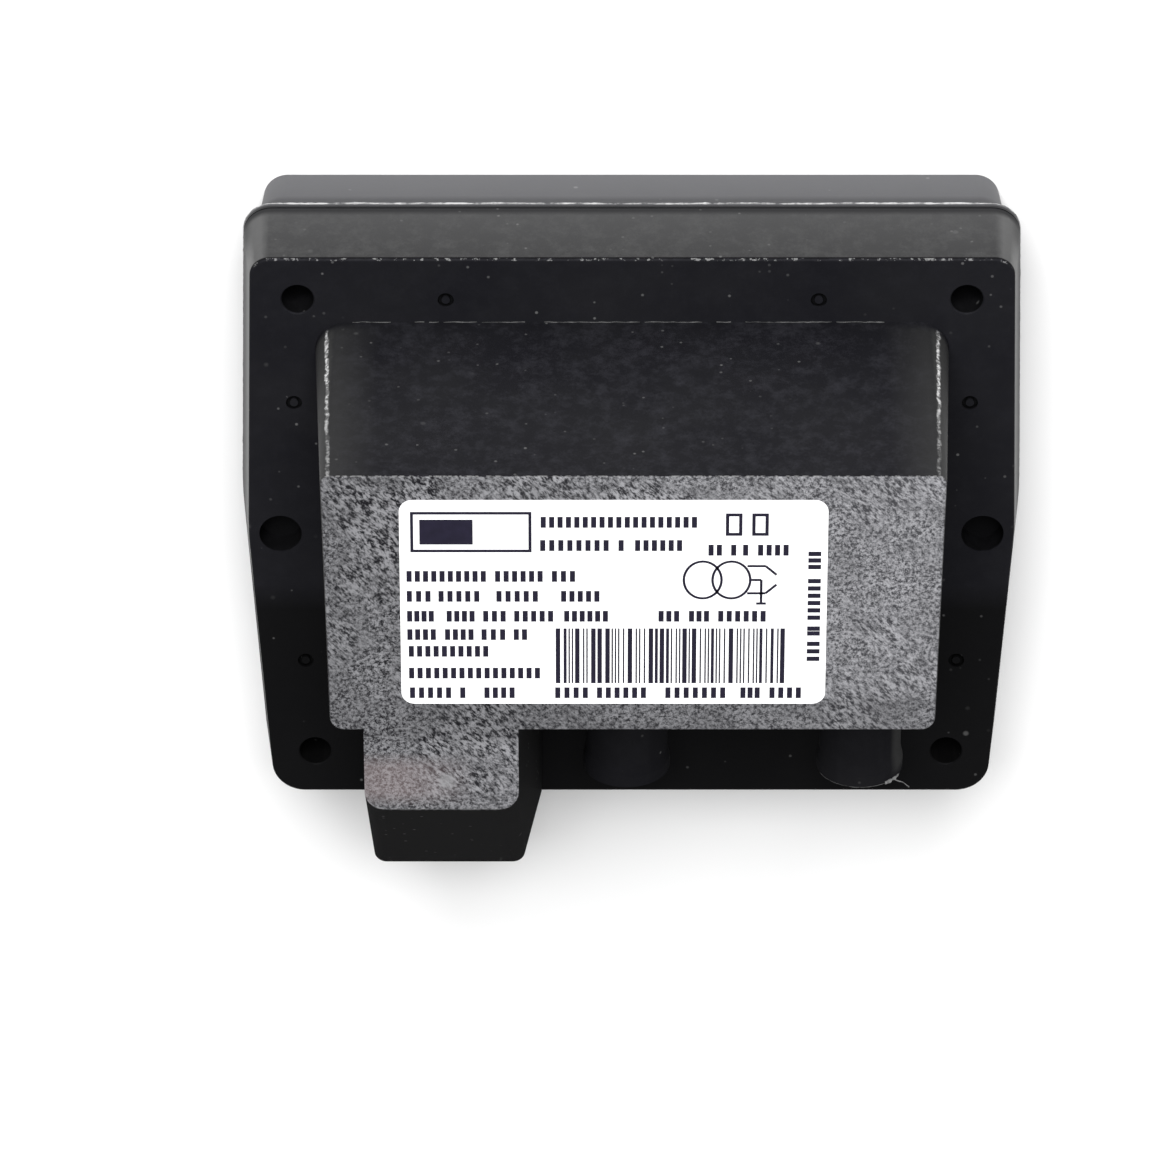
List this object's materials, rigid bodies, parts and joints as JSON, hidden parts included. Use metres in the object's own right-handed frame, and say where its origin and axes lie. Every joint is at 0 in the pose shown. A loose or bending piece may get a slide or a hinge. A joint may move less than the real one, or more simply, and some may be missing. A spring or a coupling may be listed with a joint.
{
  "type": "ignition transformer",
  "caption": "Potted ignition transformer for burners: a flanged moulded case with a raised block, high-voltage outlet tubes and a mains inlet in a nose at one side.",
  "frame": {"origin": "the middle of the flange outline, on the flat back face", "axes": "+Z from the back face to the label, +X along the label to the reader's right, +Y towards the label's top"},
  "size_m": [0.133, 0.1235, 0.0762],
  "materials": {
    "case_plastic": "moulded, fine texture",
    "cover_plastic": "moulded, satin",
    "label_film": "satin film",
    "resin": "cast",
    "core_steel": "sheet edges",
    "rivet_steel": "plated",
    "spacer_board": "pressed board",
    "bobbin_plastic": "moulded",
    "winding_copper": "enamelled wire",
    "winding_tape": "film",
    "contact_brass": "nickel plated",
    "hv_insulation": "silicone",
    "insert_plastic": "moulded",
    "earth_insulation": "sleeved",
    "live_insulation": "sleeved",
    "neutral_insulation": "sleeved"
  },
  "bodies": {
    "root": {"case": "case_plastic", "back_cover": "cover_plastic", "rating_label": "label_film", "potting_resin": "resin", "core_u_stack": "core_steel", "core_i_stack": "core_steel", "core_rivets": "rivet_steel", "magnetic_shunt": "core_steel", "shunt_spacer_left": "spacer_board", "shunt_spacer_right": "spacer_board", "primary_bobbin": "bobbin_plastic", "primary_winding": "winding_copper", "primary_tape": "winding_tape", "secondary_bobbin_left": "bobbin_plastic", "secondary_bobbin_right": "bobbin_plastic", "secondary_winding_left": "winding_copper", "secondary_winding_right": "winding_copper", "hv_pin_left": "contact_brass", "hv_pin_right": "contact_brass", "hv_lead_left": "hv_insulation", "hv_lead_right": "hv_insulation", "midpoint_lead_left": "hv_insulation", "midpoint_lead_right": "hv_insulation", "terminal_insert": "insert_plastic", "blade_earth": "contact_brass", "blade_live": "contact_brass", "blade_neutral": "contact_brass", "lead_earth": "earth_insulation", "lead_live": "live_insulation", "lead_neutral": "neutral_insulation", "earth_tag": "contact_brass"}
  },
  "joints": []
}
